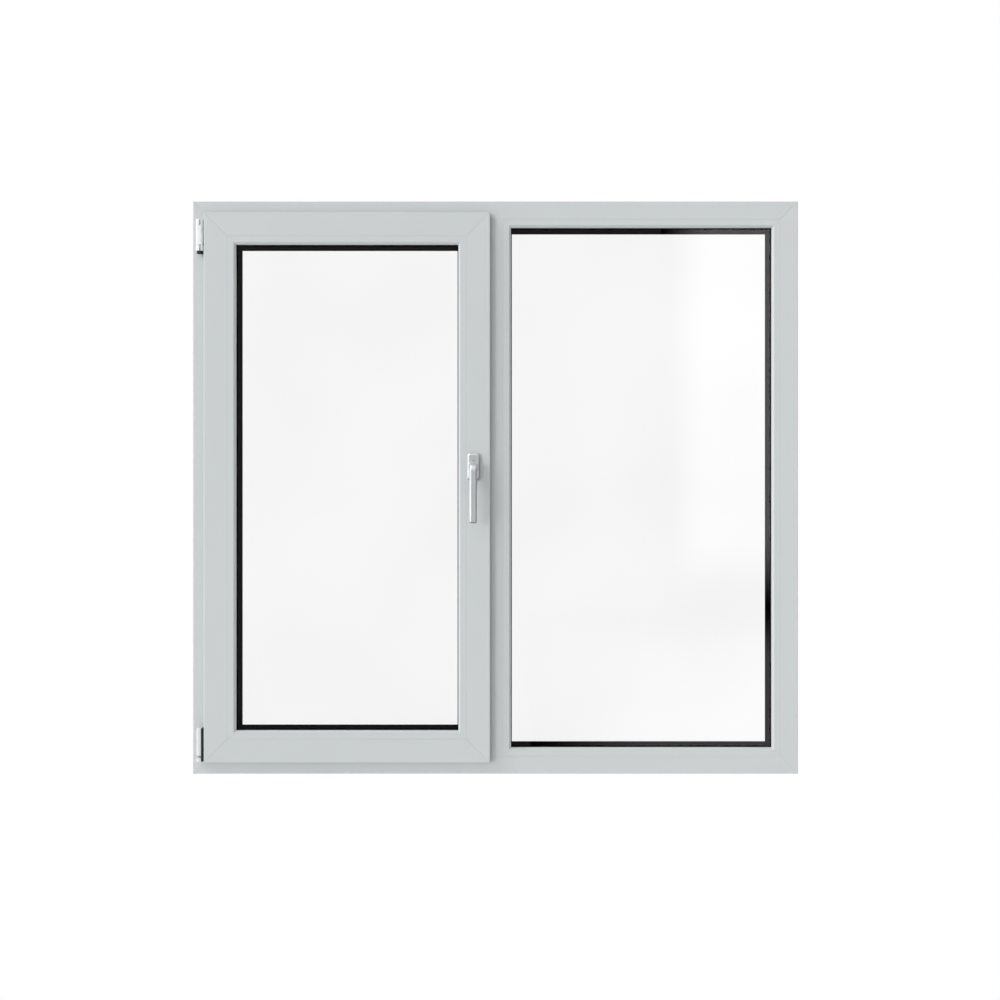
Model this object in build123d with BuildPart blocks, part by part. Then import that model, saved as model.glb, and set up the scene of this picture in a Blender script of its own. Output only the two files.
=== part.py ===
from build123d import *

import os
from typing import NamedTuple

# A two-light PVC window: a tilt-and-turn sash on the left and a fixed light on the right of a mullion.
# X runs right as seen from the room, Y runs outdoors and Z runs up, in millimetres.
# The origin is the middle of the frame's bottom face.

# Overall size
window_width = 1480.0
window_height = 1400.0
mullion_offset = -3.0  # mullion axis from the middle of the window

# Frame, mullion and sash profiles
profile_depth = 82.0
frame_face = 43.5  # room face of the frame, up to its rebate
mullion_face = 43.0  # room face of the mullion, rebate to rebate
sash_face = 58.0  # room face of the sash, up to its rebate
sash_projection = 20.0  # how far the sash stands into the room in front of the frame
sash_overlap = 12.0  # lap of the sash over the frame's room face
fitting_gap = 12.0  # room for the locking fittings round the sash body
overlap_seal = 4.0  # depth of the seal between the sash lap and the frame
leg_height = 18.0  # outdoor leg above the rebate base
leg_thickness = 16.5
leg_bevel_height = 3.0
leg_bevel_depth = 7.0
room_edge_radius = 2.0
lap_edge_radius = 2.5
weld_groove = 0.6  # depth and half width of the groove along a welded mitre
anchor_groove_width = 7.0
anchor_groove_depth = 4.0
anchor_groove_spacing = 40.0

# Glazing
pane_thickness = 4.0
edge_clearance = 5.0  # pane edge to rebate base
bead_height = 19.5
bead_depth = 11.0
bead_bevel = 4.5
bead_edge_radius = 0.6
bead_joint = 0.25  # depth and half width of the line between two mitred beads
bead_gasket = 3.0  # depth of the gasket between bead and pane
outer_gasket = 3.5  # depth of the gasket between pane and leg
bead_lip = 1.6  # bead gasket standing past the bead's edge
outer_lip = 2.0  # outer gasket standing past the bead's edge
lip_bevel = 1.5
gasket_root = 12.0  # gasket width hidden behind the bead or the leg
spacer_sight = 1.0  # spacer standing past the bead's edge
seal_width = 6.0
seal_inset = 3.0
seal_lip = 1.5

# Hinges
hinge_edge_gap = 1.5  # knuckle to the sash's edge
hinge_width = 18.0
hinge_frame_gap = 3.0  # knuckle to the frame's room face
knuckle_corner = 6.0
knuckle_rim_radius = 1.2
leaf_width = 12.0
leaf_thickness = 3.5
leaf_corner = 2.0
pin_radius = 3.5
pin_clearance = 0.2
running_gap = 0.3
top_hinge_drop = 48.0  # window top to the hinge's top
bearing_slot_offset = 2.0  # hinge axis to the middle of the slot
bearing_slot_width = 4.5
bearing_slot_depth = 5.0
top_knuckle = 15.0
stay_knuckle = 47.0
low_knuckle = 15.0
pin_foot = 6.0
pin_foot_width = 15.0
pin_recess = 1.0  # pin below the top of its bearing
bottom_hinge_rise = 34.0  # window bottom to the hinge's bottom
carrier_width = 15.0  # knuckles of the bottom hinge
bearing_knuckle = 8.5
bearing_neck = 6.2  # height of the neck between bearing and sash knuckle
bearing_neck_radius = 5.5
sash_knuckle = 66.3
liner_offset = 4.5  # hinge axis to the flat where the dark liner starts
liner_depth = 16.0
liner_edge_radius = 2.0
arm_height = 24.0
arm_thickness = 5.0

# Handle
handle_edge = 40.5  # handle axis from the sash's edge
handle_rise = 750.0  # handle axis above the window's bottom
plate_width = 32.0
plate_height = 67.0
plate_thickness = 11.0
plate_corner = 8.0
plate_edge_radius = 6.5
collar_radius = 12.5
collar_height = 3.0
collar_edge_radius = 1.0
neck_length = 24.0  # collar to the back of the lever
lever_length = 136.0  # handle axis to the tip
lever_width = 18.0
lever_thickness = 14.0
lever_corner = 5.5
lever_bend = 13.0  # bend from the neck into the lever, along its axis
tip_radius = 4.0

# Drain caps on the outdoor face of the sill
drain_width = 42.0
drain_height = 13.0
drain_depth = 6.0
drain_rise = 20.0
drain_inset = 120.0  # cap middle from the end of each light
drain_corner = 4.0
drain_edge_radius = 2.5
drain_mouth_width = 30.0
drain_mouth_height = 4.0
drain_mouth_depth = 4.0
drain_mouth_rise = 17.5

# Depths of the profiles' faces
frame_room_y = -profile_depth / 2
frame_outdoor_y = profile_depth / 2
frame_leg_y = frame_outdoor_y - leg_thickness
sash_room_y = frame_room_y - sash_projection
sash_outdoor_y = sash_room_y + profile_depth
sash_leg_y = sash_outdoor_y - leg_thickness
lap_back_y = frame_room_y - overlap_seal
glazing_depth = profile_depth - leg_thickness - outer_gasket - bead_gasket - bead_depth
pane_gap = (glazing_depth - 3 * pane_thickness) / 2
sash_body = sash_overlap + fitting_gap  # sash edge to the body behind the lap
outdoors = Vector(0, 1, 0)


class Outline(NamedTuple):
    """A rectangle in the window's plane, as seen from the room."""

    left: float
    right: float
    bottom: float
    top: float

    def inset(self, amount: float) -> "Outline":
        """The outline with each side moved inward."""
        return Outline(self.left + amount, self.right - amount, self.bottom + amount, self.top - amount)

    def side(self, name: str) -> tuple[Vector, Vector, float]:
        """The middle, the inward direction and the length of one side."""
        width = self.right - self.left
        height = self.top - self.bottom
        middle_x = (self.left + self.right) / 2
        middle_z = (self.bottom + self.top) / 2
        return {
            "top": (Vector(middle_x, 0, self.top), Vector(0, 0, -1), width),
            "bottom": (Vector(middle_x, 0, self.bottom), Vector(0, 0, 1), width),
            "left": (Vector(self.left, 0, middle_z), Vector(1, 0, 0), height),
            "right": (Vector(self.right, 0, middle_z), Vector(-1, 0, 0), height),
        }[name]


class Grooves(NamedTuple):
    """V-grooves along a mitre: how deep, and at the depths of which faces."""

    depth: float
    faces: tuple[float, ...]


# Outlines of the frame, its two rebates and the sash
frame_outline = Outline(-window_width / 2, window_width / 2, 0, window_height)
frame_rebate = frame_outline.inset(frame_face)
left_rebate = frame_rebate._replace(right=mullion_offset - mullion_face / 2)
fixed_rebate = frame_rebate._replace(left=mullion_offset + mullion_face / 2)
sash_outline = left_rebate.inset(-sash_overlap)

# Hinge axis, upright in front of the frame beside the sash
hinge_x = sash_outline.left - hinge_edge_gap - hinge_width / 2
hinge_y = frame_room_y - hinge_frame_gap - hinge_width / 2
swing_radius = 2**0.5 * (hinge_width / 2 - knuckle_corner) + knuckle_corner + running_gap


def save(part: Part, label: str) -> None:
    """Label a piece and write it to its own file."""
    part.label = label
    export_step(part, f"parts/{label}.step")


def facing_room(y: float) -> Plane:
    """A sketch plane at depth y with X right, Z up and its normal into the room."""
    return Plane.XZ.offset(-y)


def draw(outline: Outline, mode: Mode = Mode.ADD) -> None:
    """Draw an outline in the current sketch."""
    with Locations(((outline.left + outline.right) / 2, (outline.bottom + outline.top) / 2)):
        Rectangle(outline.right - outline.left, outline.top - outline.bottom, mode=mode)


def mitred_bar(outline: Outline, side: str, section: Sketch, grooves: Grooves) -> Part:
    """A bar along one side of an outline, cut at 45 degrees at both ends and grooved along the mitres."""
    middle, inward, length = outline.side(side)
    along = inward.cross(outdoors)
    reach = 2**0.5 * section.bounding_box().max.X
    with BuildPart() as bar:
        with BuildSketch(Plane(origin=middle, x_dir=inward, z_dir=along)):
            add(section)
        extrude(amount=length / 2, both=True)
        for end in (along, -along):
            corner = middle + end * (length / 2)
            split(bisect_by=Plane(origin=corner, z_dir=inward + end), keep=Keep.BOTTOM)
            for face_y in grooves.faces:
                across = Plane(origin=corner + outdoors * face_y, x_dir=outdoors, z_dir=inward - end)
                with BuildSketch(across):
                    RegularPolygon(grooves.depth, 4)
                extrude(amount=reach, mode=Mode.SUBTRACT)
    return bar.part


def frame_section() -> Sketch:
    """Frame profile: x from the outer edge inward, y from the room outdoors."""
    leg_top = frame_face + leg_height
    with BuildSketch() as section:
        with BuildLine():
            FilletPolyline(
                (0, frame_room_y),
                (frame_face, frame_room_y),
                (frame_face, frame_leg_y),
                (leg_top, frame_leg_y),
                (leg_top, frame_outdoor_y - leg_bevel_depth),
                (leg_top - leg_bevel_height, frame_outdoor_y),
                (0, frame_outdoor_y),
                radius=(room_edge_radius, bead_edge_radius, 0, 0, 0, 0, room_edge_radius),
                close=True,
            )
        make_face()
        with GridLocations(0, anchor_groove_spacing, 1, 2):
            Rectangle(2 * anchor_groove_depth, anchor_groove_width, mode=Mode.SUBTRACT)
    return section.sketch


def sash_section() -> Sketch:
    """Sash profile: x from the lap's edge inward, y from the room outdoors."""
    leg_top = sash_face + leg_height
    with BuildSketch() as section:
        with BuildLine():
            FilletPolyline(
                (0, sash_room_y),
                (sash_face, sash_room_y),
                (sash_face, sash_leg_y),
                (leg_top, sash_leg_y),
                (leg_top, sash_outdoor_y - leg_bevel_depth),
                (leg_top - leg_bevel_height, sash_outdoor_y),
                (sash_body, sash_outdoor_y),
                (sash_body, lap_back_y),
                (0, lap_back_y),
                radius=(lap_edge_radius, bead_edge_radius, 0, 0, 0, 0, 0, 0, 0),
                close=True,
            )
        make_face()
    return section.sketch


def mullion_section() -> Sketch:
    """Mullion profile: x across the mullion, y from the room outdoors."""
    half = mullion_face / 2
    leg_top = half + leg_height
    with BuildSketch() as section:
        with BuildLine():
            FilletPolyline(
                (-half, frame_room_y),
                (half, frame_room_y),
                (half, frame_leg_y),
                (leg_top, frame_leg_y),
                (leg_top, frame_outdoor_y - leg_bevel_depth),
                (leg_top - leg_bevel_height, frame_outdoor_y),
                (-leg_top + leg_bevel_height, frame_outdoor_y),
                (-leg_top, frame_outdoor_y - leg_bevel_depth),
                (-leg_top, frame_leg_y),
                (-half, frame_leg_y),
                radius=(bead_edge_radius, bead_edge_radius, 0, 0, 0, 0, 0, 0, 0, 0),
                close=True,
            )
        make_face()
    return section.sketch


def bead_section(room_y: float) -> Sketch:
    """Glazing bead profile: x from the rebate base inward, y from the room outdoors."""
    back_y = room_y + bead_depth
    with BuildSketch() as section:
        with BuildLine():
            FilletPolyline(
                (0, room_y),
                (bead_height - bead_bevel, room_y),
                (bead_height, room_y + bead_bevel),
                (bead_height, back_y),
                (0, back_y),
                radius=(bead_edge_radius, bead_edge_radius, bead_edge_radius, 0, 0),
                close=True,
            )
        make_face()
    return section.sketch


def ring(outer: Outline, inner: Outline, room_y: float, outdoor_y: float) -> Part:
    """A rectangular ring between two depths."""
    with BuildPart() as loop:
        with BuildSketch(facing_room(outdoor_y)):
            draw(outer)
            draw(inner, mode=Mode.SUBTRACT)
        extrude(amount=outdoor_y - room_y)
    return loop.part


def gasket(outer: Outline, inner: Outline, room_y: float, outdoor_y: float, lip_y: float) -> Part:
    """A ring whose inner edge is bevelled to a thin lip on the side that shows, at lip_y."""
    with BuildPart() as seal:
        add(ring(outer, inner, room_y, outdoor_y))
        showing = seal.faces().filter_by(Plane.XZ).sort_by(lambda face: abs(face.center().Y - lip_y))[0]
        chamfer(showing.inner_wires().edges(), length=lip_bevel)
    return seal.part


def glaze(light: str, rebate: Outline, room_y: float) -> None:
    """Beads, gaskets, panes and spacers in one rebate, behind a room face at room_y."""
    section = bead_section(room_y)
    joints = Grooves(bead_joint, (room_y,))
    for side in ("top", "bottom", "left", "right"):
        save(mitred_bar(rebate, side, section, joints), f"{light}_bead_{side}")

    bead_back = room_y + bead_depth
    unit_room = bead_back + bead_gasket
    unit_outdoor = unit_room + glazing_depth
    leg_y = unit_outdoor + outer_gasket
    root = rebate.inset(bead_height - gasket_root)
    sight = rebate.inset(bead_height + bead_lip)
    save(gasket(root, sight, bead_back, unit_room, bead_back), f"{light}_bead_gasket")
    sight = rebate.inset(bead_height + outer_lip)
    save(gasket(root, sight, unit_outdoor, leg_y, leg_y), f"{light}_outer_gasket")

    unit = rebate.inset(edge_clearance)
    pitch = pane_thickness + pane_gap
    for index, place in enumerate(("inner", "middle", "outer")):
        with BuildPart() as pane:
            with BuildSketch(facing_room(unit_room + index * pitch + pane_thickness)):
                draw(unit)
            extrude(amount=pane_thickness)
        save(pane.part, f"{light}_{place}_pane")

    spacer_edge = rebate.inset(bead_height + spacer_sight)
    with BuildPart() as spacers:
        for index in range(2):
            gap_room = unit_room + pane_thickness + index * pitch
            add(ring(unit, spacer_edge, gap_room, gap_room + pane_gap))
    save(spacers.part, f"{light}_edge_spacers")


def knuckle(bottom: float, top: float, width: float, depth: float = hinge_width) -> Part:
    """An upright block round the hinge axis with rounded corners and rims."""
    with BuildPart() as body:
        with BuildSketch(Plane.XY.offset(bottom)):
            with Locations((hinge_x, hinge_y)):
                RectangleRounded(width, depth, knuckle_corner)
        extrude(amount=top - bottom)
        fillet(body.edges().filter_by(Axis.Z, reverse=True), radius=knuckle_rim_radius)
    return body.part


def rod(bottom: float, top: float, radius: float) -> Part:
    """A plain cylinder on the hinge axis."""
    with BuildPart() as body:
        with BuildSketch(Plane.XY.offset(bottom)):
            with Locations((hinge_x, hinge_y)):
                Circle(radius)
        extrude(amount=top - bottom)
    return body.part


def leaf(bottom: float, top: float, swing_bottom: float, swing_top: float) -> Part:
    """The plate that carries a hinge on the frame's room face, hollowed where a knuckle turns."""
    with BuildPart() as plate:
        with BuildSketch(facing_room(frame_room_y)):
            with Locations((hinge_x, (bottom + top) / 2)):
                RectangleRounded(leaf_width, top - bottom, leaf_corner)
        extrude(amount=leaf_thickness)
        add(rod(swing_bottom, swing_top, swing_radius), mode=Mode.SUBTRACT)
    return plate.part


os.makedirs("parts", exist_ok=True)

# Outer frame and mullion
frame_welds = Grooves(weld_groove, (frame_room_y, frame_outdoor_y))
frame_bars = {
    label: mitred_bar(frame_outline, side, frame_section(), frame_welds)
    for label, side in (
        ("frame_head", "top"),
        ("frame_sill", "bottom"),
        ("frame_left_jamb", "left"),
        ("frame_right_jamb", "right"),
    )
}
for label, bar in frame_bars.items():
    save(bar, label)

with BuildPart() as mullion:
    with BuildSketch(Plane.XY.offset(frame_rebate.bottom)):
        with Locations((mullion_offset, 0)):
            add(mullion_section())
    extrude(amount=frame_rebate.top - frame_rebate.bottom)
    add(frame_bars["frame_head"], mode=Mode.SUBTRACT)
    add(frame_bars["frame_sill"], mode=Mode.SUBTRACT)
save(mullion.part, "mullion")

# Opening sash in the left light, and its two seals
sash_welds = Grooves(weld_groove, (sash_room_y, sash_outdoor_y))
for label, side in (
    ("sash_top_rail", "top"),
    ("sash_bottom_rail", "bottom"),
    ("sash_hinge_stile", "left"),
    ("sash_lock_stile", "right"),
):
    save(mitred_bar(sash_outline, side, sash_section(), sash_welds), label)

overlap_ring = ring(
    sash_outline.inset(seal_inset),
    sash_outline.inset(seal_inset + seal_width),
    lap_back_y,
    frame_room_y,
)
save(overlap_ring, "sash_overlap_seal")
rebate_ring = gasket(
    sash_outline.inset(sash_body),
    left_rebate.inset(leg_height + seal_lip),
    sash_outdoor_y,
    frame_leg_y,
    frame_leg_y,
)
save(rebate_ring, "frame_rebate_seal")

# Glazing of both lights
glaze("sash", sash_outline.inset(sash_face), sash_room_y)
glaze("fixed", fixed_rebate, frame_room_y)

# Top hinge: a bearing with two knuckles on the frame, the stay's knuckle between them and a pin
hinge_top = window_height - top_hinge_drop
stay_top = hinge_top - top_knuckle
stay_bottom = stay_top - stay_knuckle
hinge_bottom = stay_bottom - low_knuckle
bore_radius = pin_radius + pin_clearance

with BuildPart() as top_bearing:
    add(leaf(hinge_bottom, hinge_top, stay_bottom, stay_top))
    add(knuckle(stay_top, hinge_top, hinge_width))
    add(knuckle(hinge_bottom, stay_bottom, hinge_width))
    add(rod(hinge_bottom, hinge_top, bore_radius), mode=Mode.SUBTRACT)
    with BuildSketch(facing_room(hinge_y - hinge_width / 2 + bearing_slot_depth)):
        with Locations((hinge_x + bearing_slot_offset, (hinge_bottom + hinge_top) / 2)):
            Rectangle(bearing_slot_width, hinge_top - hinge_bottom)
    extrude(amount=bearing_slot_depth, mode=Mode.SUBTRACT)
save(top_bearing.part, "top_hinge_bearing")

with BuildPart() as top_stay:
    add(knuckle(stay_bottom, stay_top, hinge_width))
    with BuildSketch(Plane.XY.offset((stay_bottom + stay_top - arm_height) / 2)):
        with Locations(((hinge_x + sash_outline.left) / 2, hinge_y + arm_thickness / 2)):
            Rectangle(sash_outline.left - hinge_x, arm_thickness)
    extrude(amount=arm_height)
    add(rod(stay_bottom, stay_top, bore_radius), mode=Mode.SUBTRACT)
save(top_stay.part, "top_hinge_stay_knuckle")

with BuildPart() as top_pin:
    add(rod(hinge_bottom, hinge_top - pin_recess, pin_radius))
    add(knuckle(hinge_bottom - pin_foot, hinge_bottom, pin_foot_width, pin_foot_width))
save(top_pin.part, "top_hinge_pin")

# Bottom hinge: a bearing on the frame, the sash's knuckle standing on it and a dark liner beside both
bearing_top = bottom_hinge_rise + bearing_knuckle
neck_top = bearing_top + bearing_neck
knuckle_top = neck_top + sash_knuckle
liner_x = hinge_x + liner_offset
liner_flat = Plane(origin=(liner_x, 0, 0), z_dir=(1, 0, 0))

with BuildPart() as bottom_bearing:
    add(knuckle(bottom_hinge_rise, bearing_top, carrier_width))
    add(rod(bearing_top, neck_top, bearing_neck_radius))
    split(bisect_by=liner_flat, keep=Keep.BOTTOM)
    add(leaf(bottom_hinge_rise, knuckle_top, bearing_top, knuckle_top))
save(bottom_bearing.part, "bottom_hinge_bearing")

with BuildPart() as bottom_knuckle:
    add(knuckle(neck_top, knuckle_top, carrier_width))
    split(bisect_by=liner_flat, keep=Keep.BOTTOM)
save(bottom_knuckle.part, "bottom_hinge_sash_knuckle")

with BuildPart() as bottom_liner:
    with BuildSketch(Plane.XY.offset(bottom_hinge_rise)):
        with Locations(((liner_x + sash_outline.left) / 2, hinge_y)):
            Rectangle(sash_outline.left - liner_x, liner_depth)
    extrude(amount=knuckle_top - bottom_hinge_rise)
    fillet(bottom_liner.faces().sort_by(Axis.Y)[0].edges(), radius=liner_edge_radius)
save(bottom_liner.part, "bottom_hinge_liner")

# Handle on the lock stile
handle_x = sash_outline.right - handle_edge
plate_front_y = sash_room_y - plate_thickness
collar_front_y = plate_front_y - collar_height
lever_y = collar_front_y - neck_length - lever_thickness / 2
tip_z = handle_rise - lever_length

with BuildPart() as backplate:
    with BuildSketch(facing_room(sash_room_y)):
        with Locations((handle_x, handle_rise)):
            RectangleRounded(plate_width, plate_height, plate_corner)
    extrude(amount=plate_thickness)
    fillet(backplate.faces().sort_by(Axis.Y)[0].edges(), radius=plate_edge_radius)
save(backplate.part, "handle_backplate")

with BuildPart() as collar:
    with BuildSketch(facing_room(plate_front_y)):
        with Locations((handle_x, handle_rise)):
            Circle(collar_radius)
    extrude(amount=collar_height)
    fillet(collar.faces().sort_by(Axis.Y)[0].edges(), radius=collar_edge_radius)
save(collar.part, "handle_collar")

with BuildPart() as lever:
    with BuildLine(Plane.YZ.offset(handle_x)):
        FilletPolyline(
            (collar_front_y, handle_rise),
            (lever_y, handle_rise),
            (lever_y, tip_z),
            radius=lever_bend,
        )
    with BuildSketch(facing_room(collar_front_y)):
        with Locations((handle_x, handle_rise)):
            RectangleRounded(lever_width, lever_thickness, lever_corner)
    sweep()
    fillet(lever.faces().sort_by(Axis.Z)[0].edges(), radius=tip_radius)
save(lever.part, "handle_lever")

# Drain caps below each light
drain_x = [
    cap_x
    for rebate in (left_rebate, fixed_rebate)
    for cap_x in (rebate.left + drain_inset, rebate.right - drain_inset)
]
with BuildPart() as drains:
    with BuildSketch(facing_room(frame_outdoor_y)):
        with Locations([(cap_x, drain_rise) for cap_x in drain_x]):
            RectangleRounded(drain_width, drain_height, drain_corner)
    extrude(amount=-drain_depth)
    fillet(drains.faces().filter_by(Plane.XZ).group_by(Axis.Y)[-1].edges(), radius=drain_edge_radius)
    with BuildSketch(facing_room(frame_outdoor_y + drain_depth)):
        with Locations([(cap_x, drain_mouth_rise) for cap_x in drain_x]):
            SlotOverall(drain_mouth_width, drain_mouth_height)
    extrude(amount=drain_mouth_depth, mode=Mode.SUBTRACT)
save(drains.part, "drain_caps")
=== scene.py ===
"""A two-light PVC window, dressed and lit: finishes, small fittings, studio and camera.

The frame has X to the right as seen from the room, Y outdoors and Z up, in metres.
"""

import logging
import math
from dataclasses import dataclass, replace
from enum import Enum
from typing import Any, Sequence

import bmesh
import bpy
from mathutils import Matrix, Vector


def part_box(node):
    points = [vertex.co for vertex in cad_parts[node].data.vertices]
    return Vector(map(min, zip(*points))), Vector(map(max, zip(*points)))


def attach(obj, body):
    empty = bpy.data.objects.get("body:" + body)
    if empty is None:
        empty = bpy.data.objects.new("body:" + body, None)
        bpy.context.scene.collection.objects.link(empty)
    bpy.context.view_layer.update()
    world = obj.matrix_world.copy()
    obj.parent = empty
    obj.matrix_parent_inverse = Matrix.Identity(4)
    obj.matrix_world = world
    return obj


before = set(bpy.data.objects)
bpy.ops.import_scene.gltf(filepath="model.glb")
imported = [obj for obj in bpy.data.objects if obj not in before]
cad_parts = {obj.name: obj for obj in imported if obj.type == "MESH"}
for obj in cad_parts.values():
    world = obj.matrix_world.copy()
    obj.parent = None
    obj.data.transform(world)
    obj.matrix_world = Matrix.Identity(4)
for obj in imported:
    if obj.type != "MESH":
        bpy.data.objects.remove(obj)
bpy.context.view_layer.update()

LOG = logging.getLogger("pvc_window")
NODES: dict[str, bpy.types.Object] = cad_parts
BODY = "root"
MM = 0.001
SHARP_EDGE_DEG = 35
# Noise rarely leaves this middle part of its range, so this part is what gets stretched.
NOISE_MIDDLE: dict[str, float] = {"From Min": 0.3, "From Max": 0.7}
# The mix node has several sockets of the same name, so those for colours go by number.
MIX_SHARE = 0
MIX_FIRST = 6
MIX_SECOND = 7
MIX_COLOUR = 2


def linear(hex_colour: str) -> tuple[float, float, float, float]:
    """Turns an sRGB hex colour into linear values, by the curve of the sRGB standard.

    Args:
        hex_colour: six hex digits after a hash sign.

    Returns:
        Red, green, blue and an alpha of one.
    """
    values: list[float] = []
    for start in (1, 3, 5):
        part = int(hex_colour[start:start + 2], 16) / 255
        values.append(part / 12.92 if part <= 0.04045 else ((part + 0.055) / 1.055) ** 2.4)
    return (*values, 1.0)


def add_node(
    tree: bpy.types.NodeTree,
    kind: str,
    inputs: dict[Any, Any] | None = None,
    links: dict[Any, bpy.types.NodeSocket] | None = None,
    **settings: Any,
) -> bpy.types.Node:
    """Adds one node with its settings, its values and its links.

    Args:
        tree: the node tree that gets the node.
        kind: Blender's name for the type of node.
        inputs: values of inputs, by name or number.
        links: sockets that feed inputs, by name or number.
        settings: the node's own attributes.

    Returns:
        The new node.
    """
    node = tree.nodes.new(kind)
    for name, value in settings.items():
        setattr(node, name, value)
    for key, value in (inputs or {}).items():
        node.inputs[key].default_value = value
    for key, socket in (links or {}).items():
        tree.links.new(socket, node.inputs[key])
    return node


def blank_material(name: str) -> tuple[bpy.types.Material, bpy.types.NodeTree, bpy.types.Node]:
    """Makes a material that holds only its output.

    Args:
        name: the material's name.

    Returns:
        The material, its node tree and the output node.
    """
    material = bpy.data.materials.new(name)
    material.use_nodes = True
    tree = material.node_tree
    tree.nodes.clear()
    return material, tree, add_node(tree, "ShaderNodeOutputMaterial")


class Run(Enum):
    """The way that a profile came out of its die, as the axis along which its marks are drawn out."""

    ALONG_X = 0
    ALONG_Z = 2
    NONE = None


@dataclass(frozen=True)
class Pattern:
    """Noise at a real size, drawn out along the run of a profile."""

    size_mm: float
    drawn_out: float = 1.0
    detail: float = 2.0
    finer_share: float = 0.55

    def socket(self, tree: bpy.types.NodeTree, run: Run = Run.NONE) -> bpy.types.NodeSocket:
        """Adds the noise to a material.

        Args:
            tree: the material's node tree.
            run: the axis along which the pattern is drawn out.

        Returns:
            The socket that carries a value from 0 to 1.
        """
        where = add_node(tree, "ShaderNodeTexCoord").outputs["Object"]
        scale = [1.0, 1.0, 1.0]
        if run.value is not None:
            scale[run.value] = 1 / self.drawn_out
        mapping = add_node(tree, "ShaderNodeMapping", {"Scale": scale}, {"Vector": where})
        noise = add_node(
            tree,
            "ShaderNodeTexNoise",
            {"Scale": 1 / (self.size_mm * MM), "Detail": self.detail, "Roughness": self.finer_share},
            {"Vector": mapping.outputs["Vector"]},
        )
        return noise.outputs["Fac"]


def two_tones(
    tree: bpy.types.NodeTree,
    noise: bpy.types.NodeSocket,
    tones: tuple[str, str],
    shares: tuple[float, float] = (0.0, 1.0),
) -> bpy.types.NodeSocket:
    """Mixes two tones by a noise, with the noise's middle stretched over a range of shares.

    Args:
        tree: the material's node tree.
        noise: the noise.
        tones: the two hex colours.
        shares: the second tone's smallest and largest share.

    Returns:
        The socket that carries the colour.
    """
    share = add_node(
        tree,
        "ShaderNodeMapRange",
        {**NOISE_MIDDLE, "To Min": shares[0], "To Max": shares[1]},
        {"Value": noise},
    )
    mix = add_node(
        tree,
        "ShaderNodeMix",
        {MIX_FIRST: linear(tones[0]), MIX_SECOND: linear(tones[1])},
        {MIX_SHARE: share.outputs["Result"]},
        data_type="RGBA",
    )
    return mix.outputs[MIX_COLOUR]


@dataclass(frozen=True)
class Solid:
    """An opaque finish: two close tones, a range of gloss and two scales of surface texture."""

    name: str
    tone: str
    other_tone: str
    rough_low: float
    rough_high: float
    mottle: Pattern
    grain: Pattern
    marks: Pattern
    grain_height_mm: float
    marks_height_mm: float
    ior: float = 1.5
    metallic: float = 0.0
    gloss_level: float = 0.5
    scatter: float = 0.0
    scatter_mm: float = 0.0

    def material(self, run: Run = Run.NONE) -> bpy.types.Material:
        """Makes the finish for a piece whose marks follow a run.

        Args:
            run: the axis along which the surface was drawn or brushed.

        Returns:
            The material.
        """
        name = self.name if run is Run.NONE else f"{self.name}_{run.name.lower()}"
        if name in bpy.data.materials:
            return bpy.data.materials[name]
        material, tree, output = blank_material(name)
        mottle = self.mottle.socket(tree, run)
        grain = self.grain.socket(tree)
        marks = self.marks.socket(tree, run)
        fine = add_node(
            tree,
            "ShaderNodeBump",
            {"Strength": 1.0, "Distance": self.grain_height_mm * MM},
            {"Height": grain},
        )
        relief = add_node(
            tree,
            "ShaderNodeBump",
            {"Strength": 1.0, "Distance": self.marks_height_mm * MM},
            {"Height": marks, "Normal": fine.outputs["Normal"]},
        )
        gloss = add_node(
            tree,
            "ShaderNodeMapRange",
            {**NOISE_MIDDLE, "To Min": self.rough_low, "To Max": self.rough_high},
            {"Value": marks},
        )
        values = {"Metallic": self.metallic, "Specular IOR Level": self.gloss_level}
        if not self.metallic:
            values["IOR"] = self.ior
        if self.scatter:
            values["Subsurface Weight"] = self.scatter
            values["Subsurface Radius"] = (1.0, 1.0, 1.0)
            values["Subsurface Scale"] = self.scatter_mm * MM
        shader = add_node(
            tree,
            "ShaderNodeBsdfPrincipled",
            values,
            {
                "Base Color": two_tones(tree, mottle, (self.tone, self.other_tone)),
                "Roughness": gloss.outputs["Result"],
                "Normal": relief.outputs["Normal"],
            },
        )
        tree.links.new(shader.outputs["BSDF"], output.inputs["Surface"])
        return material


class Side(Enum):
    """The side of a pane that mirrors, the one to the open air, as the test of depth that finds it."""

    ROOM = "LESS_THAN"
    OUTDOORS = "GREATER_THAN"
    NONE = ""


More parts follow.
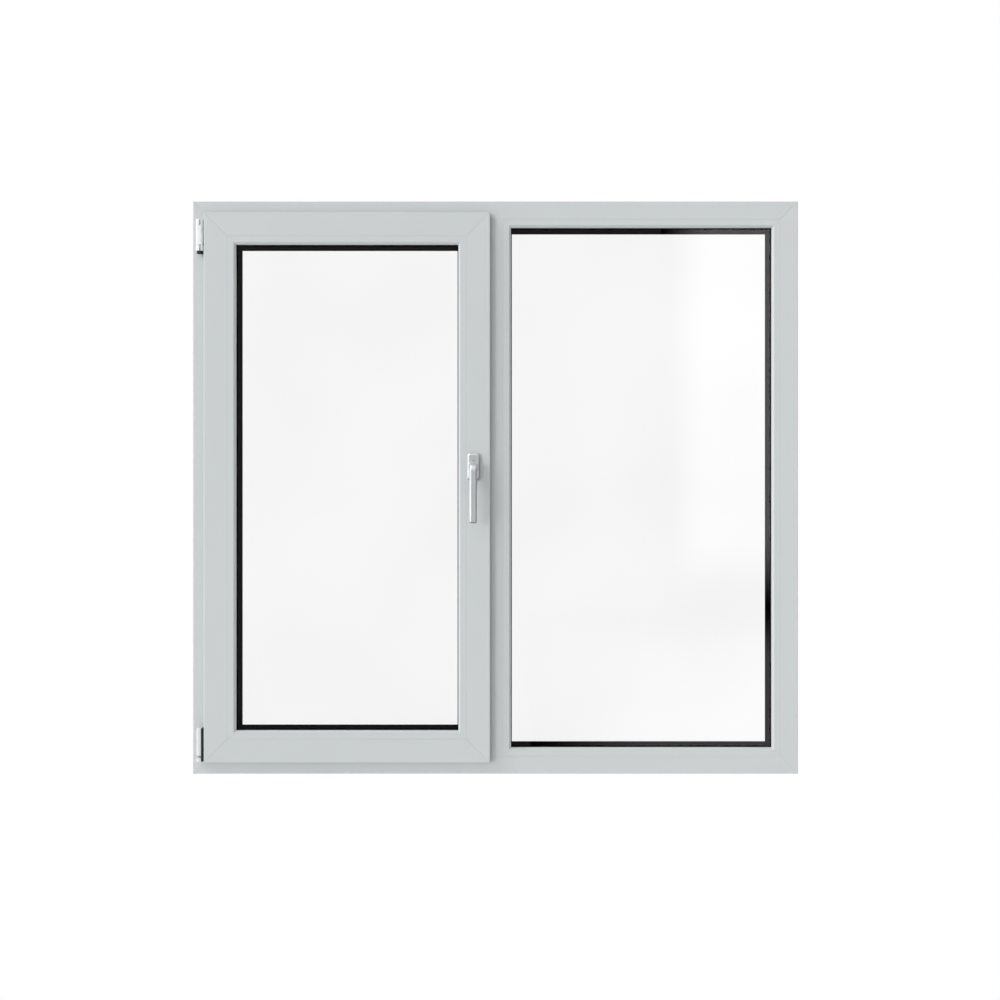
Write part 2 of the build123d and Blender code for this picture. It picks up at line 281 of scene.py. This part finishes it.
@dataclass(frozen=True)
class FloatGlass:
    """Clear float glass. It gives the eye a film that hardly shows and a weak mirror on its open face."""

    name: str = "float_glass_polished"
    tint: str = "#FDFDFD"
    clear_tint: str = "#FFFFFF"
    waviness: Pattern = Pattern(420.0, detail=1.0)
    clear_low: float = 0.3
    clear_high: float = 0.7
    roughness: float = 0.0
    ior: float = 1.52

    def material(self, side: Side, middle_y: float) -> bpy.types.Material:
        """Makes the glass of one pane.

        Args:
            side: the pane's face that mirrors.
            middle_y: the middle of the pane's thickness.

        Returns:
            The material.
        """
        material, tree, output = blank_material(f"{self.name}_{side.name.lower()}")
        film = two_tones(
            tree,
            self.waviness.socket(tree),
            (self.tint, self.clear_tint),
            (self.clear_low, self.clear_high),
        )
        clear = add_node(tree, "ShaderNodeBsdfTransparent", links={"Color": film})
        if side is Side.NONE:
            tree.links.new(clear.outputs["BSDF"], output.inputs["Surface"])
            return material
        where = add_node(tree, "ShaderNodeTexCoord").outputs["Object"]
        depth = add_node(tree, "ShaderNodeSeparateXYZ", links={"Vector": where}).outputs["Y"]
        open_face = add_node(
            tree, "ShaderNodeMath", {1: middle_y}, {0: depth}, operation=side.value
        ).outputs["Value"]
        facing = add_node(tree, "ShaderNodeNewGeometry").outputs["Backfacing"]
        outside = add_node(
            tree, "ShaderNodeMath", {0: 1.0}, {1: facing}, operation="SUBTRACT"
        ).outputs["Value"]
        mirror = add_node(tree, "ShaderNodeFresnel", {"IOR": self.ior}).outputs["Fac"]
        share = mirror
        for test in (open_face, outside):
            share = add_node(
                tree, "ShaderNodeMath", links={0: share, 1: test}, operation="MULTIPLY"
            ).outputs["Value"]
        gloss = add_node(tree, "ShaderNodeBsdfGlossy", {"Roughness": self.roughness})
        mixed = add_node(
            tree,
            "ShaderNodeMixShader",
            links={0: share, 1: clear.outputs["BSDF"], 2: gloss.outputs["BSDF"]},
        )
        tree.links.new(mixed.outputs["Shader"], output.inputs["Surface"])
        return material


# The grain of every finish below is drawn coarser than the real one, which is too fine to show.
# Extruded rigid PVC: a satin skin with faint die lines along the bar and hardly any mottle.
EXTRUDED_PVC = Solid(
    name="rigid_pvc_extruded",
    tone="#C2C7C8",
    other_tone="#C5C9CA",
    rough_low=0.48,
    rough_high=0.58,
    mottle=Pattern(180.0, drawn_out=4.0),
    grain=Pattern(1.4, detail=3.0),
    marks=Pattern(3.0, drawn_out=220.0),
    grain_height_mm=0.004,
    marks_height_mm=0.012,
    ior=1.53,
)
# Extruded rubber: dull black with a dusting that is a little paler.
EXTRUDED_RUBBER = Solid(
    name="epdm_rubber_extruded",
    tone="#020202",
    other_tone="#060607",
    rough_low=0.6,
    rough_high=0.8,
    mottle=Pattern(25.0),
    grain=Pattern(0.9, detail=3.0),
    marks=Pattern(2.0),
    grain_height_mm=0.02,
    marks_height_mm=0.01,
    gloss_level=0.02,
)
# Warm-edge spacer: a black composite strip with a fine matt tooth.
SPACER_STRIP = Solid(
    name="spacer_composite_rolled",
    tone="#030303",
    other_tone="#070708",
    rough_low=0.65,
    rough_high=0.8,
    mottle=Pattern(8.0),
    grain=Pattern(0.8, detail=3.0),
    marks=Pattern(3.0),
    grain_height_mm=0.02,
    marks_height_mm=0.01,
    gloss_level=0.0,
)
# Satin anodised aluminium: a soft silver sheen with faint brush lines along the lever, also drawn coarser.
ANODISED_ALUMINIUM = Solid(
    name="aluminium_anodised_satin",
    tone="#CBCECF",
    other_tone="#D3D5D6",
    rough_low=0.42,
    rough_high=0.52,
    mottle=Pattern(30.0, drawn_out=4.0),
    grain=Pattern(0.7, detail=3.0),
    marks=Pattern(0.9, drawn_out=40.0),
    grain_height_mm=0.006,
    marks_height_mm=0.006,
    metallic=1.0,
)
# Moulded covers of the hinges: near-white and dull, with light that spreads inside and softens their shading.
MOULDED_COVER = Solid(
    name="abs_moulded_white",
    tone="#E6E8E8",
    other_tone="#EBEDED",
    rough_low=0.48,
    rough_high=0.53,
    mottle=Pattern(20.0),
    grain=Pattern(0.8, detail=3.0),
    marks=Pattern(14.0),
    grain_height_mm=0.0012,
    marks_height_mm=0.006,
    ior=1.54,
    scatter=0.5,
    scatter_mm=4.0,
)
# Moulded covers of the lower hinge: the same plastic in a greyer tone, painted shade that stands in for the
# dimmer look of the narrower lower hinge.
MOULDED_SHADED_COVER = replace(MOULDED_COVER, name="abs_moulded_painted_shade", tone="#D3D7D8", other_tone="#D9DCDD")
# Black moulded nylon: dark and dull with a fine spark-eroded tooth.
MOULDED_NYLON = Solid(
    name="nylon_moulded_black",
    tone="#18181A",
    other_tone="#212123",
    rough_low=0.5,
    rough_high=0.65,
    mottle=Pattern(10.0),
    grain=Pattern(0.8, detail=3.0),
    marks=Pattern(4.0),
    grain_height_mm=0.01,
    marks_height_mm=0.008,
    ior=1.53,
    gloss_level=0.3,
)
# Moulded drain caps: the profile's grey with a duller, finely eroded face.
MOULDED_CAP = Solid(
    name="pvc_moulded_cap",
    tone="#C2C7C8",
    other_tone="#C9CDCE",
    rough_low=0.45,
    rough_high=0.58,
    mottle=Pattern(12.0),
    grain=Pattern(0.9, detail=3.0),
    marks=Pattern(4.0),
    grain_height_mm=0.012,
    marks_height_mm=0.008,
    ior=1.53,
)
# Zinc-plated steel: small turned pieces, bright with a little haze.
PLATED_STEEL = Solid(
    name="steel_zinc_plated",
    tone="#B0B3B5",
    other_tone="#BEC1C3",
    rough_low=0.3,
    rough_high=0.42,
    mottle=Pattern(3.0),
    grain=Pattern(0.5, detail=3.0),
    marks=Pattern(0.6),
    grain_height_mm=0.004,
    marks_height_mm=0.004,
    metallic=1.0,
)
FLOAT_GLASS = FloatGlass()


def dress(node: str, material: bpy.types.Material) -> None:
    """Gives a CAD node its finish.

    Args:
        node: the node's name.
        material: what it is made of.
    """
    slots = NODES[node].data.materials
    slots.clear()
    slots.append(material)
    LOG.info("dressed %s in %s", node, material.name)


def place(name: str, mesh: bmesh.types.BMesh, material: bpy.types.Material, slot: str) -> None:
    """Turns a built mesh into a piece of the window.

    Args:
        name: the piece's name.
        mesh: its faces, in the window's frame.
        material: what it is made of.
        slot: the record's slot for its finish; not used.
    """
    bmesh.ops.recalc_face_normals(mesh, faces=mesh.faces)
    data = bpy.data.meshes.new(name)
    mesh.to_mesh(data)
    mesh.free()
    data.materials.append(material)
    data.shade_smooth()
    data.set_sharp_from_angle(angle=math.radians(SHARP_EDGE_DEG))
    piece = bpy.data.objects.new(name, data)
    bpy.context.scene.collection.objects.link(piece)
    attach(piece, BODY)
    LOG.info("built %s: %d faces", name, len(data.polygons))


@dataclass(frozen=True)
class Turned:
    """A small piece on an axis, made of rings from its back to its front and closed at both ends."""

    origin: Vector
    axis: Vector
    rings: Sequence[tuple[float, float]]
    segments: int = 36

    def add_to(self, mesh: bmesh.types.BMesh) -> None:
        """Adds the piece's faces to a mesh.

        Args:
            mesh: the mesh that gets the faces.
        """
        forward = self.axis.normalized()
        right = forward.orthogonal().normalized()
        up = forward.cross(right)
        loops = []
        for radius_mm, rise_mm in self.rings:
            loop = []
            for index in range(self.segments):
                angle = math.tau * index / self.segments
                outward = right * math.cos(angle) + up * math.sin(angle)
                loop.append(mesh.verts.new(self.origin + (forward * rise_mm + outward * radius_mm) * MM))
            loops.append(loop)
        for lower, upper in zip(loops, loops[1:]):
            for index in range(self.segments):
                after = (index + 1) % self.segments
                mesh.faces.new((lower[index], lower[after], upper[after], upper[index]))
        mesh.faces.new(loops[0])
        mesh.faces.new(loops[-1])


@dataclass(frozen=True)
class RibLoop:
    """A round rib that runs round a rectangle in the window's plane, mitred at its corners."""

    low: Vector
    high: Vector
    depth: float
    radius_mm: float
    segments: int = 12

    def add_to(self, mesh: bmesh.types.BMesh) -> None:
        """Adds the rib's faces to a mesh.

        Args:
            mesh: the mesh that gets the faces.
        """
        radius = self.radius_mm * MM
        rings = []
        for index in range(self.segments):
            angle = math.tau * index / self.segments
            inset = radius * math.cos(angle)
            y = self.depth + radius * math.sin(angle)
            left, right = self.low.x + inset, self.high.x - inset
            bottom, top = self.low.z + inset, self.high.z - inset
            corners = ((left, bottom), (right, bottom), (right, top), (left, top))
            rings.append([mesh.verts.new((x, y, z)) for x, z in corners])
        for index in range(self.segments):
            ring, after = rings[index], rings[(index + 1) % self.segments]
            for corner in range(4):
                ahead = (corner + 1) % 4
                mesh.faces.new((ring[corner], ring[ahead], after[ahead], after[corner]))


@dataclass
class OuterFrame:
    """The fixed frame with its mullion and the seal in its rebate."""

    rails: tuple[str, ...] = ("frame_head", "frame_sill")
    uprights: tuple[str, ...] = ("frame_left_jamb", "frame_right_jamb", "mullion")
    seal: str = "frame_rebate_seal"

    def dress(self) -> None:
        """Gives the bars their extruded skin and the seal its rubber."""
        for node in self.rails:
            dress(node, EXTRUDED_PVC.material(Run.ALONG_X))
        for node in self.uprights:
            dress(node, EXTRUDED_PVC.material(Run.ALONG_Z))
        dress(self.seal, EXTRUDED_RUBBER.material())


@dataclass
class OpeningSash:
    """The hinged sash's four bars and the seal behind its lap."""

    rails: tuple[str, ...] = ("sash_top_rail", "sash_bottom_rail")
    stiles: tuple[str, ...] = ("sash_hinge_stile", "sash_lock_stile")
    seal: str = "sash_overlap_seal"

    def dress(self) -> None:
        """Gives the bars their extruded skin and the seal its rubber."""
        for node in self.rails:
            dress(node, EXTRUDED_PVC.material(Run.ALONG_X))
        for node in self.stiles:
            dress(node, EXTRUDED_PVC.material(Run.ALONG_Z))
        dress(self.seal, EXTRUDED_RUBBER.material())


@dataclass
class Glazing:
    """Beads, gaskets, three panes and spacers of one light."""

    light: str
    bead_rib_inset_mm: float = 13.6
    outer_rib_inset_mm: float = 14.0
    rib_radius_mm: float = 0.7

    def dress(self) -> None:
        """Dresses every node of the light."""
        for side, run in (
            ("top", Run.ALONG_X),
            ("bottom", Run.ALONG_X),
            ("left", Run.ALONG_Z),
            ("right", Run.ALONG_Z),
        ):
            dress(f"{self.light}_bead_{side}", EXTRUDED_PVC.material(run))
        for gasket in ("bead_gasket", "outer_gasket"):
            dress(f"{self.light}_{gasket}", EXTRUDED_RUBBER.material())
        dress(f"{self.light}_edge_spacers", SPACER_STRIP.material())
        for pane, side in (("inner", Side.ROOM), ("middle", Side.NONE), ("outer", Side.OUTDOORS)):
            node = f"{self.light}_{pane}_pane"
            low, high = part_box(node)
            dress(node, FLOAT_GLASS.material(side, (low.y + high.y) / 2))

    def build_ribs(self) -> None:
        """Builds the sealing ribs where the gaskets' lips press on the glass."""
        radius = self.rib_radius_mm * MM
        for gasket, pane, inset_mm, towards_room in (
            ("bead_gasket", "inner_pane", self.bead_rib_inset_mm, True),
            ("outer_gasket", "outer_pane", self.outer_rib_inset_mm, False),
        ):
            low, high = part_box(f"{self.light}_{gasket}")
            glass_low, glass_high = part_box(f"{self.light}_{pane}")
            depth = glass_low.y - radius if towards_room else glass_high.y + radius
            inset = Vector((inset_mm, 0, inset_mm)) * MM
            mesh = bmesh.new()
            RibLoop(low + inset, high - inset, depth, self.rib_radius_mm).add_to(mesh)
            name = f"{self.light}_{gasket}_rib"
            place(name, mesh, EXTRUDED_RUBBER.material(), "gasket_rubber")


@dataclass
class TopHinge:
    """The stay's hinge at the top: bearing, knuckle and pin."""

    covers: tuple[str, ...] = ("top_hinge_bearing", "top_hinge_stay_knuckle")
    pin: str = "top_hinge_pin"

    def dress(self) -> None:
        """Dresses the covers and the pin with its foot."""
        for node in self.covers:
            dress(node, MOULDED_COVER.material())
        dress(self.pin, MOULDED_NYLON.material())


@dataclass
class BottomHinge:
    """The hinge that carries the sash: bearing, knuckle, liner and the steel thrust washer between them."""

    bearing: str = "bottom_hinge_bearing"
    knuckle: str = "bottom_hinge_sash_knuckle"
    liner: str = "bottom_hinge_liner"
    axis: str = "top_hinge_pin"
    neck_mm: float = 6.2
    washer_radius_mm: float = 6.6
    washer_height_mm: float = 3.0
    washer_edge_mm: float = 0.4

    def dress(self) -> None:
        """Dresses the covers and the liner."""
        # The lower covers wear the greyer copy of the cover plastic: painted shade, not a tone of their own.
        for node in (self.bearing, self.knuckle):
            dress(node, MOULDED_SHADED_COVER.material())
        dress(self.liner, MOULDED_NYLON.material())

    def build_washer(self) -> None:
        """Builds the washer round the neck below the sash's knuckle, cut off at the liner."""
        pin_low, pin_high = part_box(self.axis)
        centre = (pin_low + pin_high) / 2
        centre.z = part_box(self.knuckle)[0].z - self.neck_mm * MM / 2
        half, edge, radius = self.washer_height_mm / 2, self.washer_edge_mm, self.washer_radius_mm
        rings = (
            (radius - edge, -half),
            (radius, edge - half),
            (radius, half - edge),
            (radius - edge, half),
        )
        mesh = bmesh.new()
        Turned(centre, Vector((0, 0, 1)), rings).add_to(mesh)
        cut = bmesh.ops.bisect_plane(
            mesh,
            geom=[*mesh.verts, *mesh.edges, *mesh.faces],
            plane_co=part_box(self.liner)[0],
            plane_no=(1, 0, 0),
            clear_outer=True,
        )
        rim = [part for part in cut["geom_cut"] if isinstance(part, bmesh.types.BMEdge)]
        bmesh.ops.edgeloop_fill(mesh, edges=rim)
        place("bottom_hinge_washer", mesh, PLATED_STEEL.material(), "hinge_dark")


@dataclass
class LeverHandle:
    """The handle: plate, collar and lever, with the lock button above the collar."""

    plate: str = "handle_backplate"
    collar: str = "handle_collar"
    lever: str = "handle_lever"
    button_rise_mm: float = 15.4
    button_radius_mm: float = 2.2
    button_root_mm: float = 0.6
    button_height_mm: float = 0.45
    button_shoulder_mm: float = 0.25
    button_edge_mm: float = 0.25
    button_rim_mm: float = 0.7
    button_dish_rim_mm: float = 0.8
    button_dish_mm: float = 0.1

    def dress(self) -> None:
        """Gives the metal its satin skin, with the grain along the lever."""
        for node in (self.plate, self.collar, self.lever):
            dress(node, ANODISED_ALUMINIUM.material(Run.ALONG_Z))

    def build_button(self) -> None:
        """Builds the small lock button above the collar, with a dished face."""
        low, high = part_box(self.plate)
        middle = (low + high) / 2
        origin = Vector((middle.x, low.y, middle.z + self.button_rise_mm * MM))
        radius = self.button_radius_mm
        rings = (
            (radius, -self.button_root_mm),
            (radius, self.button_shoulder_mm),
            (radius - self.button_edge_mm, self.button_height_mm),
            (radius - self.button_rim_mm, self.button_height_mm),
            (radius - self.button_dish_rim_mm, self.button_dish_mm),
        )
        mesh = bmesh.new()
        Turned(origin, Vector((0, -1, 0)), rings).add_to(mesh)
        place("handle_lock_button", mesh, PLATED_STEEL.material(), "handle_metal")


@dataclass
class DrainCaps:
    """The caps over the sill's drain slots."""

    caps: str = "drain_caps"

    def dress(self) -> None:
        """Dresses the caps."""
        dress(self.caps, MOULDED_CAP.material())


@dataclass(frozen=True)
class Lamp:
    """A distant soft lamp, by where it stands as seen from the window."""

    name: str
    towards: tuple[float, float, float]
    level: float
    width_deg: float
    mirrored: bool = True

    def build(self) -> None:
        """Hangs the lamp. Its level is what it adds to a white face that looks straight at it."""
        data = bpy.data.lights.new(self.name, "SUN")
        data.energy = self.level * math.pi
        data.angle = math.radians(self.width_deg)
        lamp = bpy.data.objects.new(self.name, data)
        lamp.rotation_mode = "QUATERNION"
        lamp.rotation_quaternion = Vector(self.towards).to_track_quat("Z", "Y")
        lamp.visible_glossy = self.mirrored
        bpy.context.scene.collection.objects.link(lamp)
        LOG.info("hung %s", self.name)


@dataclass(frozen=True)
class Card:
    """A plain studio card that only shows in reflections, by a corner and its two edges."""

    name: str
    corner: tuple[float, float, float]
    along: tuple[float, float, float]
    across: tuple[float, float, float]
    level: float
    soft_share: float = 0.0
    middle: float = 0.5

    def build(self) -> None:
        """Sets the card up in the room."""
        first, along, across = Vector(self.corner), Vector(self.along), Vector(self.across)
        mesh = bmesh.new()
        corners = (first, first + along, first + along + across, first + across)
        mesh.faces.new([mesh.verts.new(corner) for corner in corners])
        data = bpy.data.meshes.new(self.name)
        mesh.to_mesh(data)
        mesh.free()
        material, tree, output = blank_material(self.name)
        glow = add_node(tree, "ShaderNodeEmission", {"Strength": self.level})
        if self.soft_share:
            tree.links.new(self.faded(tree), glow.inputs["Strength"])
        tree.links.new(glow.outputs["Emission"], output.inputs["Surface"])
        data.materials.append(material)
        card = bpy.data.objects.new(self.name, data)
        card.visible_camera = False
        card.visible_diffuse = False
        card.visible_transmission = False
        card.visible_shadow = False
        bpy.context.scene.collection.objects.link(card)
        LOG.info("set up %s", self.name)

    def faded(self, tree: bpy.types.NodeTree) -> bpy.types.NodeSocket:
        """Lets the card's light fade out towards its edges.

        Args:
            tree: the card's node tree.

        Returns:
            The socket that carries the strength.
        """
        where = add_node(tree, "ShaderNodeTexCoord").outputs["Generated"]
        parts = add_node(tree, "ShaderNodeSeparateXYZ", links={"Vector": where}).outputs
        strength = add_node(tree, "ShaderNodeValue").outputs["Value"]
        strength.default_value = self.level
        for edge in (self.along, self.across):
            axis = max(range(3), key=lambda index: abs(edge[index]))
            inward = add_node(
                tree, "ShaderNodeMath", {1: self.middle}, {0: parts[axis]}, operation="PINGPONG"
            )
            fade = add_node(
                tree,
                "ShaderNodeMapRange",
                {"From Max": self.soft_share},
                {"Value": inward.outputs["Value"]},
                interpolation_type="SMOOTHSTEP",
            )
            strength = add_node(
                tree, "ShaderNodeMath", links={0: strength, 1: fade.outputs["Result"]}, operation="MULTIPLY"
            ).outputs["Value"]
        return strength


@dataclass
class Studio:
    """White surroundings: lamps, cards for the glass to mirror, a pale floor and the sky."""

    floor_drop: float = 0.85
    floor_low: tuple[float, float] = (-3.2, -4.9)
    floor_high: tuple[float, float] = (3.6, 0.5)
    floor_tone: str = "#F3F3F3"
    floor_glow: float = 0.09
    floor_fade: float = 0.8
    sky_tone: str = "#FFFFFF"
    sky_level: float = 0.465
    sky_seen_level: float = 1.0
    lamps: tuple[Lamp, ...] = (
        Lamp("key_lamp", (-0.61, -0.79, 0.07), 0.19, 14.0),
        Lamp("window_lamp", (-0.75, -0.60, 0.25), 0.40, 90.0),
        Lamp("edge_lamp", (-0.60, -0.25, 0.75), 0.30, 20.0),
        Lamp("outdoor_lamp", (0.45, 0.82, 0.35), 0.58, 40.0, mirrored=False),
    )
    cards: tuple[Card, ...] = (
        Card("room_wall", (-5.0, -5.0, -0.85), (10.0, 0, 0), (0, 0, 5.0), 0.3),
        Card("room_bright_panel", (1.15, -4.98, -0.1), (2.4, 0, 0), (0, 0, 3.9), 2.3, 0.15),
        Card("room_left_side", (-4.0, -5.0, -0.85), (0, 2.0, 0), (0, 0, 4.0), 0.1),
        Card("room_left_window", (-4.0, -3.0, -0.85), (0, 3.4, 0), (0, 0, 4.0), 2.1),
        Card("room_right_side", (4.0, -5.0, -3.0), (0, 7.5, 0), (0, 0, 6.15), 0.2),
        Card("room_floor", (-5.0, -5.0, -0.84), (10.0, 0, 0), (0, 5.4, 0), 0.2),
        Card("room_low_panel", (0.2, -4.97, -1.4), (3.4, 0, 0), (0, 0, 1.3), 1.15, 0.3),
        Card("room_bright_floor", (0.2, -6.4, -0.83), (3.4, 0, 0), (0, 5.3, 0), 1.2, 0.25),
    )

    def build_lights(self) -> None:
        """Hangs the lamps and sets up the cards."""
        for lamp in self.lamps:
            lamp.build()
        for card in self.cards:
            card.build()

    def build_floor(self) -> None:
        """Lays the pale floor. It glows a little, so that only the shadow shows, and fades out far off."""
        (left, near), (right, far) = self.floor_low, self.floor_high
        mesh = bmesh.new()
        corners = ((left, near), (right, near), (right, far), (left, far))
        mesh.faces.new([mesh.verts.new((x, y, -self.floor_drop)) for x, y in corners])
        data = bpy.data.meshes.new("studio_floor")
        mesh.to_mesh(data)
        mesh.free()
        material, tree, output = blank_material("studio_floor_painted")
        seen = self.seen_directly(tree)
        strength = add_node(tree, "ShaderNodeMath", {1: self.floor_glow}, {0: seen}, operation="MULTIPLY")
        glow = add_node(tree, "ShaderNodeEmission", links={"Strength": strength.outputs["Value"]})
        paint = add_node(tree, "ShaderNodeBsdfDiffuse", {"Color": linear(self.floor_tone)})
        both = add_node(
            tree, "ShaderNodeAddShader", links={0: glow.outputs["Emission"], 1: paint.outputs["BSDF"]}
        )
        where = add_node(tree, "ShaderNodeTexCoord").outputs["Object"]
        depth = add_node(tree, "ShaderNodeSeparateXYZ", links={"Vector": where}).outputs["Y"]
        fade = add_node(
            tree,
            "ShaderNodeMapRange",
            {"From Min": far - self.floor_fade, "From Max": far},
            {"Value": depth},
            interpolation_type="SMOOTHSTEP",
        )
        nothing = add_node(tree, "ShaderNodeBsdfTransparent")
        mixed = add_node(
            tree,
            "ShaderNodeMixShader",
            links={0: fade.outputs["Result"], 1: both.outputs["Shader"], 2: nothing.outputs["BSDF"]},
        )
        tree.links.new(mixed.outputs["Shader"], output.inputs["Surface"])
        data.materials.append(material)
        floor = bpy.data.objects.new("studio_floor", data)
        floor.visible_glossy = False
        bpy.context.scene.collection.objects.link(floor)
        LOG.info("laid studio_floor")

    def seen_directly(self, tree: bpy.types.NodeTree) -> bpy.types.NodeSocket:
        """Tells rays that show a surface from those that only light it.

        Args:
            tree: the node tree that gets the test.

        Returns:
            A socket that is 1 for camera, glossy and transmission rays.
        """
        path = add_node(tree, "ShaderNodeLightPath")
        shown = path.outputs["Is Camera Ray"]
        for ray in ("Is Glossy Ray", "Is Transmission Ray"):
            shown = add_node(
                tree, "ShaderNodeMath", links={0: shown, 1: path.outputs[ray]}, operation="MAXIMUM"
            ).outputs["Value"]
        return shown

    def build_sky(self) -> None:
        """Makes the surroundings white where they are seen and soft where they only light."""
        world = bpy.data.worlds.new("studio_white")
        world.use_nodes = True
        tree = world.node_tree
        tree.nodes.clear()
        tone = linear(self.sky_tone)
        soft = add_node(tree, "ShaderNodeBackground", {"Color": tone, "Strength": self.sky_level})
        white = add_node(tree, "ShaderNodeBackground", {"Color": tone, "Strength": self.sky_seen_level})
        mixed = add_node(
            tree,
            "ShaderNodeMixShader",
            links={
                0: self.seen_directly(tree),
                1: soft.outputs["Background"],
                2: white.outputs["Background"],
            },
        )
        output = add_node(tree, "ShaderNodeOutputWorld")
        tree.links.new(mixed.outputs["Shader"], output.inputs["Surface"])
        bpy.context.scene.world = world
        LOG.info("made studio_white")


@dataclass
class Viewpoint:
    """The camera, level and square to the window, almost in front of its middle."""

    place: tuple[float, float, float] = (0.0112, -2.663, 0.6696)
    lens_mm: float = 38.6
    sensor_mm: float = 36.0

    def build(self) -> None:
        """Sets up the camera that takes the main view."""
        data = bpy.data.cameras.new("main_camera")
        data.lens = self.lens_mm
        data.sensor_width = self.sensor_mm
        camera = bpy.data.objects.new("main_camera", data)
        camera.location = self.place
        camera.rotation_euler = (math.radians(90), 0, 0)
        bpy.context.scene.collection.objects.link(camera)
        bpy.context.scene.camera = camera
        LOG.info("set main_camera")


def main() -> None:
    """Builds and dresses the window, then the studio round it."""
    logging.basicConfig(level=logging.INFO, format="%(name)s: %(message)s")
    OuterFrame().dress()
    OpeningSash().dress()
    for light in ("sash", "fixed"):
        glazing = Glazing(light)
        glazing.dress()
        glazing.build_ribs()
    TopHinge().dress()
    bottom_hinge = BottomHinge()
    bottom_hinge.dress()
    bottom_hinge.build_washer()
    handle = LeverHandle()
    handle.dress()
    handle.build_button()
    DrainCaps().dress()
    studio = Studio()
    studio.build_lights()
    studio.build_floor()
    studio.build_sky()
    Viewpoint().build()
    bpy.context.scene.view_settings.view_transform = "Standard"


if __name__ == "__main__":
    main()
